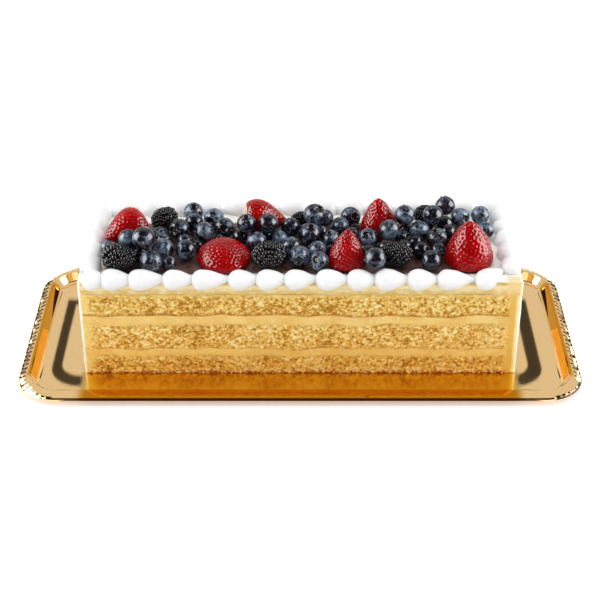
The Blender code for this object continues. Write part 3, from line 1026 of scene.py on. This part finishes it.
def lay_berry(name, middle, radius, crown, turn, squash, dust):
    """A copy of the berry in its place, with a bloom of its own."""
    spin = Matrix.Rotation(turn, 4, "Z")
    form = Matrix.Diagonal((radius * squash, radius, radius, 1))
    fruit = twin_of(berry, name, Matrix.Translation(middle) @ facing(crown) @ spin @ form)
    store(fruit, "dust", lambda place: dust)
    return fruit


# %% [markdown]
# The skin is nearly black. A bloom of fine wax makes it look blue, thick on some berries and
# rubbed off others. So each berry keeps one number for its bloom, and noise breaks it into
# patches. Wax is matt, and bare skin is glossy.

# %% Bloom the blueberries
skin = Finish("blueberry_skin")
dust = skin.kept("dust")
crown = skin.kept("crown")
eye = skin.kept("eye")
patch = skin.noise(150, 3, 0.6)
rub = skin.noise(480, 5, 0.7)
bloom = (patch * 1.5 + rub * 1.5 + dust - 1.3).step(0.12, 0.62) * (1 - eye)
bare = skin.mix(skin.noise(60, 1).step(0.45, 0.7), shade(12, 15, 26), shade(30, 16, 30))
blue = skin.mix(bloom * 0.85, bare, shade(124, 144, 168))
lobe = skin.mix(rub.step(0.4, 0.6), shade(58, 56, 62), shade(120, 122, 128))
blue = skin.mix(crown * (1 - eye) * 0.8, blue, lobe)
blue = skin.mix(eye * 0.8, blue, shade(24, 18, 22))
blue_skin = skin.surface(
    Base_Color=blue,
    Roughness=0.15 + bloom * 0.22,
    Specular_IOR_Level=0.55,
    Normal=skin.bump(rub, 0.14 * MM, 0.6),
)

chance = random.Random(21)
blueberries = sorted(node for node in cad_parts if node.startswith("blueberry"))
for node in blueberries:
    turn = chance.uniform(0, ANY_TURN)
    squash = chance.uniform(0.96, 1)
    amount = chance.uniform(-0.12, 0.2)
    fruit = lay_berry(node + "_fruit", *ball_of(node), turn, squash, amount)
    dress(fruit, blue_skin, "blueberry_skin", node)
print("blueberries:", len(blueberries))

# %% [markdown]
# ## Strawberries
# A strawberry is a cone with a broad shoulder and a round tip. Its seeds sit in pits, in a
# spiral that spaces them evenly, like those of a sunflower. The body is turned up and made
# uneven, each pit is pressed where the spiral says, and a small seed is laid in it.

# %% Turn up the three forms of strawberry
STRAWBERRY_SIDES = 132
STRAWBERRY_STATIONS = 84
SEEDS = 230
# How slim each form gets towards its ends, and where it was cut off below, as a share of its
# length from the stem
WHOLE = (0.64, 0)
HULLED = (0.64, 0.2)
BROAD = (0.5, 0.16)
DIP = 0.03


def width_at(share, form):
    """How wide a strawberry is at a share of its length from the stem end or the cut."""
    slimness, cut = form
    return math.sin(math.pi * (cut + (1 - cut) * share) ** 0.55) ** slimness


def strawberry_outline(form):
    """Stations close together where the form turns, from the stem's dip to the tip."""
    stations = [(0.055, 0.02), (0.045, 0.10), (0.034, 0.20)]
    if form[1]:
        stations += [(0.031, share) for share in (0.4, 0.6, 0.8)]
    for i in range(1, STRAWBERRY_STATIONS):
        share = (1 - math.cos(math.pi * i / STRAWBERRY_STATIONS)) / 2
        if form[1] and share < DIP:
            continue
        if width_at(share, form) > 0.28 or share > 0.5:
            stations.append((max(share, DIP), width_at(share, form)))
    return stations


masters = {
    form: turn_up("form", STRAWBERRY_SIDES, strawberry_outline(form))
    for form in (WHOLE, HULLED, BROAD)
}

GOLDEN = math.pi * (3 - math.sqrt(5))


def seed_spots(form, width, length):
    """Even spots on a strawberry, each as a share of the length and an angle."""
    shares = np.linspace(0.04, 0.99, 400)
    radii = np.array([width_at(s, form) for s in shares]) * width / 2
    steps = np.hypot(np.diff(radii), np.diff(shares) * length)
    area = np.concatenate(([0], np.cumsum(steps * (radii[1:] + radii[:-1]) / 2)))
    spots = []
    for i in range(SEEDS):
        share = np.interp((i + 0.5) / SEEDS * area[-1], area, shares)
        jog = math.sin(i * 7.3)
        spots.append((float(share) + jog * 0.006, i * GOLDEN + jog * 0.05))
    return spots


# %% Make the seed
seed_outline = [(-0.9, 0.25), (-0.5, 0.8), (0.2, 0.9), (0.7, 0.45), (1.0, 0.1)]
seed = turn_up("seed", 7, seed_outline)
SEED_SIZE = Vector((0.32, 0.24, 0.52)) * MM
seed.data.transform(Matrix.Diagonal((*SEED_SIZE, 1)))
smooth(seed, 80)
print("seed faces:", faces_of(seed))


# %% [markdown]
# A strawberry's axis is found from the points of its solid: of the three main directions
# of a round body two are alike, and the third is its axis. The tip is at the thinner end.


# %% Find an axis
def axis_of(node):
    """The stem end, the way to the tip, the length and the width of a round solid."""
    points = vertices_of(node)
    middle = points.mean(axis=0)
    spread, ways = np.linalg.eigh(np.cov((points - middle).T))
    lone = 2 if spread[2] - spread[1] > spread[1] - spread[0] else 0
    way = ways[:, lone]
    along = (points - middle) @ way
    aside = np.linalg.norm(points - middle - np.outer(along, way), axis=1)
    low, high = along.min(), along.max()
    reach = (high - low) * 0.25
    if aside[along > high - reach].mean() > aside[along < low + reach].mean():
        way = -way
        along = -along
        low, high = -high, -low
    stem = Vector(middle + way * low)
    return stem, Vector(way), float(high - low), float(2 * aside.max())


# %% [markdown]
# The flesh is wet and deep red, with painted shade in the pits. It is redder than any one
# colour can say, since light also travels inside it. The cut stem end is pale.

# %% Colour the strawberries
flesh = Finish("strawberry_skin")
pit = flesh.kept("pit")
stem = flesh.kept("stem")
blush = flesh.noise(90, 2)
ripe = flesh.mix(blush.step(0.3, 0.75), shade(150, 0, 3), shade(182, 4, 6))
# Painted shade: the pits are darker.
ripe = flesh.mix(pit * 0.5, ripe, shade(96, 0, 5))
ring = (stem + (blush - 0.5) * 0.5).step(0.35, 0.75)
ripe = flesh.mix(ring, ripe, shade(247, 226, 172))
red_flesh = flesh.surface(
    Base_Color=ripe,
    Roughness=0.08,
    Specular_IOR_Level=0.36,
    Subsurface_Weight=0.03,
    Subsurface_Radius=(1.0, 0.15, 0.1),
    Subsurface_Scale=2 * MM,
    Normal=flesh.bump(flesh.noise(900, 2), 0.04 * MM, 0.5),
)
husk = Finish("strawberry_seed")
seed_husk = husk.surface(
    Base_Color=husk.mottled(240, 1, shade(132, 10, 6), shade(158, 34, 16)),
    Roughness=0.3,
    Specular_IOR_Level=0.25,
)


# %% Grow the strawberries
PIT_RADIUS = 0.75 * MM
PIT_DEPTH = 0.6 * MM
SEED_SINKS = 0.38 * MM
FIRST_SEED = 0.05


def grow_strawberry(node, form, turn):
    """One strawberry with its pits and seeds, in the place of its solid."""
    stem_end, way, length, width = axis_of(node)
    length = length / (1 - DIP)
    stem_end = stem_end - way * DIP * length
    upright = Matrix.Translation(stem_end) @ facing(way) @ Matrix.Rotation(turn, 4, "Z")
    size = Matrix.Diagonal((width / 2, width / 2, length, 1))
    fruit = twin_of(masters[form], node + "_fruit", Matrix.Identity(4))
    store(fruit, "stem", lambda place: float(place.z < 0.06 and place.xy.length < 0.5))
    fruit.data.transform(upright @ size)
    displace(fruit, cloud("uneven", 14 * MM, 1), 0.6, 1.8 * MM)
    spots = []
    for share, angle in seed_spots(form, width, length):
        radius = width_at(share, form)
        guess = upright @ size @ Vector((radius * math.cos(angle), radius * math.sin(angle), share))
        spot, normal = fruit.closest_point_on_mesh(guess)[1:3]
        if share > FIRST_SEED:
            spots.append((spot, normal))
    tree = tree_of([spot for spot, normal in spots])

    def pit_at(place):
        return math.exp(-((tree.find(place)[2] / PIT_RADIUS) ** 2))

    pits = group_of(fruit, "pits", pit_at)
    store(fruit, "pit", pit_at)
    finish_with(fruit, "DISPLACE", mid_level=0, strength=-PIT_DEPTH, vertex_group=pits)
    smooth(fruit, 80)
    dress(fruit, red_flesh, "strawberry_skin", node)
    seeds = []
    for i, (spot, normal) in enumerate(spots):
        along = (way - normal * way.dot(normal)).normalized()
        across = normal.cross(along)
        axes = Matrix((across, normal, along)).transposed().to_4x4()
        lie = Matrix.Translation(spot - normal * SEED_SINKS) @ axes
        seeds.append(twin_of(seed, f"{node}_seed_{i}", lie))
    dress(join(seeds, node + "_seeds"), seed_husk, "strawberry_skin")
    print(node, "faces:", faces_of(fruit), "seeds:", len(spots))


for i, form in enumerate((WHOLE, WHOLE, HULLED, HULLED, HULLED, BROAD), 1):
    grow_strawberry(f"strawberry_{i}", form, 1.3 * i)
for master in masters.values():
    bpy.data.objects.remove(master)
bpy.data.objects.remove(seed)

# %% [markdown]
# ## Brambles
# A bramble is a cluster of small shiny drupes on a core. They are laid on an egg in the same
# spiral as the seeds, and each differs a little in size. The skin is so dark that only its
# gloss shows, as one point of light on each drupe.

# %% Grow the brambles
DRUPES = 165
SHARE_OF_SURFACE = 0.57
SUNK = 0.85
STEEPEST = 1.45
drupe = turn_up("drupe", 10, arc((-STEEPEST, -0.9, -0.3, 0.3, 0.9, STEEPEST)))
smooth(drupe, 80)

bead = Finish("bramble_skin")
ripeness = bead.noise(120, 1)
dark = bead.mix(ripeness.step(0.45, 0.7), shade(9, 6, 9), shade(26, 10, 16))
black_skin = bead.surface(
    Base_Color=dark,
    Roughness=0.12,
    Specular_IOR_Level=0.4,
    Normal=bead.bump(bead.noise(900, 2), 0.08 * MM, 0.4),
)


def grow_bramble(node, number):
    """Drupes in a spiral on an egg-shaped core."""
    end, way, length, width = axis_of(node)
    upright = Matrix.Translation(end) @ facing(way)
    chance = random.Random(number)
    size = SHARE_OF_SURFACE * math.sqrt(math.pi * width * length / DRUPES)
    inner = width / 2 - size * SUNK
    reach = length / 2 - size * SUNK
    oval = arc(np.linspace(-STEEPEST, STEEPEST, 9), reach, inner, length / 2)
    core = turn_up(node + "_core", 16, oval)
    core.data.transform(upright)
    drupes = [core]
    for i in range(DRUPES):
        height = -1 + 2 * (i + 0.5 + chance.uniform(-1.5, 1.5)) / (DRUPES + 3)
        height = min(0.99, max(-0.99, height))
        out = inner * math.sqrt(1 - height**2) * (1 - 0.12 * height)
        angle = i * GOLDEN + chance.uniform(-0.16, 0.16)
        spot = Vector((out * math.cos(angle), out * math.sin(angle), length / 2 + reach * height))
        grown = size * chance.uniform(0.82, 1.1)
        place = upright @ Matrix.Translation(spot) @ Matrix.Scale(grown, 4)
        drupes.append(twin_of(drupe, f"{node}_drupe_{i}", place))
    fruit = join(drupes, node + "_fruit")
    smooth(fruit, 80)
    dress(fruit, black_skin, "bramble_skin", node)
    print(node, "faces:", faces_of(fruit))


for i in range(1, 7):
    grow_bramble(f"bramble_{i}", i)
bpy.data.objects.remove(drupe)

# %% [markdown]
# ## Small berries between the others
# The heap has smaller blueberries in its gaps. A rule finds them: at each spot of a fine
# grid on the cream, a berry grows until it would touch a neighbour, and it is kept if it is
# big enough. The largest gaps are filled first.

# %% Fill the gaps
BED = CAKE_HIGH.z + GAP
SMALLEST = 3.4 * MM
LARGEST = 6.0 * MM
TRIES = 6
CLOSE_ENOUGH = 0.2 * MM

walls = []
for node in sorted(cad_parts):
    if node.startswith(("blueberry", "strawberry", "bramble", "piped")):
        faces = [face.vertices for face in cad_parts[node].data.polygons]
        walls.append(BVHTree.FromPolygons(vertices_of(node).tolist(), faces))


def room_at(x, y, placed):
    """The radius of the largest berry that fits on the cream at a spot."""
    radius = LARGEST
    for _ in range(TRIES):
        middle = Vector((x, y, BED + radius))
        room = min([(middle - other).length - size for other, size in placed] + [1.0])
        for wall in walls:
            spot, normal, _, distance = wall.find_nearest(middle)
            if normal.dot(middle - spot) < 0:
                return 0
            room = min(room, distance)
        if room >= radius - CLOSE_ENOUGH:
            return radius
        radius = (radius + room - CLOSE_ENOUGH) / 2
        if radius < SMALLEST:
            return 0
    return radius if radius <= room else 0


# Places where a small berry shows between the others, as seen from the front
SEEN = ((-44, 10), (-90, -34), (39, 16), (103.5, 18))

placed = []
for x, y in SEEN:
    radius = room_at(x * MM, y * MM, placed)
    print("small berry at", x, y, "with a radius of", round(radius / MM, 1), "mm")
    if radius:
        placed.append((Vector((x * MM, y * MM, BED + radius)), radius))
spots = [(x, y) for x in range(-96, 120, 3) for y in range(-24, 15, 3)]
spots += [(x, y) for x in range(-129, -96, 3) for y in range(-24, -8, 3)]
for least in (5.6 * MM, 5.0 * MM, 4.3 * MM, SMALLEST):
    for x, y in spots:
        radius = room_at(x * MM, y * MM, placed)
        if radius >= least:
            placed.append((Vector((x * MM, y * MM, BED + radius)), radius))
chance = random.Random(3)
fills = []
for i, (middle, radius) in enumerate(placed):
    tilt = math.radians(chance.uniform(20, 100))
    way = chance.uniform(0, 2 * math.pi)
    look = Vector((math.sin(tilt) * math.cos(way), math.sin(tilt) * math.sin(way), math.cos(tilt)))
    turn = chance.uniform(0, ANY_TURN)
    fills.append(lay_berry(f"fill_{i}", middle, radius, look, turn, 1, chance.uniform(-0.3, 0.0)))
dress(join(fills, "small_blueberries"), blue_skin, "blueberry_skin")
bpy.data.objects.remove(berry)
print("small blueberries:", len(placed))

# %% [markdown]
# ## The floor and the light
# A pale floor, a soft box at each side and one overhead. The side boxes give every berry its
# two lights. Black and bright cloths show only in the foil and in the gloss of the berries:
# a dark room round the camera, a dark skirt round the tray, a dark frame over the far side,
# and a bright cloth at the left and at the right.

# %% Lay the floor
floor = start_with(add_plane, "floor", (9, 9, 1))
paper = Finish("pale_paper")
pale_paper = paper.surface(
    Base_Color=paper.mottled(300, 2, shade(244, 244, 243), shade(248, 248, 247)),
    Roughness=0.9,
    Emission_Color=(1, 1, 1, 1),
    Emission_Strength=0.34,
)
paint(floor, pale_paper)


# %% Hang the lights
def soft_box(name, place, size, radiance):
    """A square light that faces the cake."""
    aim = Vector((0, 0, 0.05))
    turn = (Vector(place) - aim).to_track_quat("Z", "Y").to_euler()
    bpy.ops.object.light_add(type="AREA", location=place, rotation=turn)
    light = bpy.context.object
    light.name = name
    light.data.shape = "RECTANGLE"
    light.data.size, light.data.size_y = size
    light.data.energy = radiance * math.pi * size[0] * size[1]
    return light


soft_box("box_left", (-1.15, -0.12, 0.55), (0.75, 0.7), 2.2)
soft_box("box_right", (1.15, -0.12, 0.55), (0.75, 0.7), 2.2)
overhead = soft_box("box_top", (0, 0.1, 1.35), (1.3, 0.8), 1.3)
overhead.visible_glossy = False

world = bpy.data.worlds.new("room")
world.use_nodes = True
sky = world.node_tree.nodes["Background"].inputs
sky["Color"].default_value = (1, 0.995, 0.985, 1)
sky["Strength"].default_value = 0.77
bpy.context.scene.world = world
bpy.context.scene.view_settings.view_transform = "Standard"

# %% Set up what the foil shows
black = Finish("black_cloth")
black_cloth = black.surface(
    Base_Color=black.mottled(60, 1, (0.012, 0.011, 0.010, 1), (0.02, 0.018, 0.016, 1)),
    Roughness=0.9,
)


def show_in_gloss_only(thing, cloth=black_cloth):
    """Stage dressing that the camera and the light don't see, but mirrors do."""
    paint(thing, cloth)
    for kind in ("camera", "diffuse", "shadow", "transmission"):
        setattr(thing, "visible_" + kind, False)


FRAME_RISE = 400 * MM
FRAME_MIDDLE = -4.1 * MM
FRAME_HALF = 289 * MM
FRAME_NEAR = 471 * MM
FRAME_FAR = 655 * MM
FRAME_BAR = 11.5 * MM
FRAME_CORNER = 38 * MM

dark_frame = start_with(
    add_plane, "dark_frame", (2 * FRAME_HALF, FRAME_FAR - FRAME_NEAR, 1),
    location=(FRAME_MIDDLE, (FRAME_NEAR + FRAME_FAR) / 2, FRAME_RISE), rotation=(math.pi, 0, 0),
)
mark(dark_frame, "VERT", lambda point: point.co.y < 0.5)
bpy.ops.mesh.bevel(offset=FRAME_CORNER, affect="VERTICES", segments=10)
leave()
mark(dark_frame, "FACE")
bpy.ops.mesh.inset(thickness=FRAME_BAR, depth=0)
far_left = (FRAME_MIDDLE - FRAME_HALF + FRAME_BAR, FRAME_FAR - FRAME_BAR, FRAME_RISE)
bpy.ops.transform.resize(value=(0.993, 0.947, 1), center_override=far_left)
bpy.ops.mesh.delete(type="FACE")
leave()
show_in_gloss_only(dark_frame)

dark_room = start_with(add_cube, "dark_room", (3.4, 2.7, 2.0), location=(0, -0.85, 0.95))
cut_away(dark_room, lambda face: face.normal.y > 0.9 or face.normal.z < -0.9)
show_in_gloss_only(dark_room)

dark_skirt = start_with(add_cube, "dark_skirt", (0.5, 0.41, 0.03), location=(0, 0.145, 0.015))
cut_away(dark_skirt, lambda face: abs(face.normal.x) < 0.9)
dark_strip = start_with(add_plane, "dark_strip", (0.34, 0.12, 1), location=(0, -0.15, 0.0005))
dark_skirt = join([dark_skirt, dark_strip], "dark_skirt")
show_in_gloss_only(dark_skirt)

glow = Finish("bright_cloth")
bright_cloth = glow.surface(
    Base_Color=(0, 0, 0, 1),
    Emission_Color=glow.mottled(3, 1, (1, 1, 1, 1), (0.9, 0.92, 0.95, 1)),
    Emission_Strength=10.0,
)
for name, side in (("bright_left", -1), ("bright_right", 1)):
    aim = Vector((side * 1.05, -0.1, 0.44))
    turn = aim.to_track_quat("Z", "Y").to_euler()
    card = start_with(add_grid, name, (1, 1, 1), location=aim, rotation=turn)
    show_in_gloss_only(card, bright_cloth)
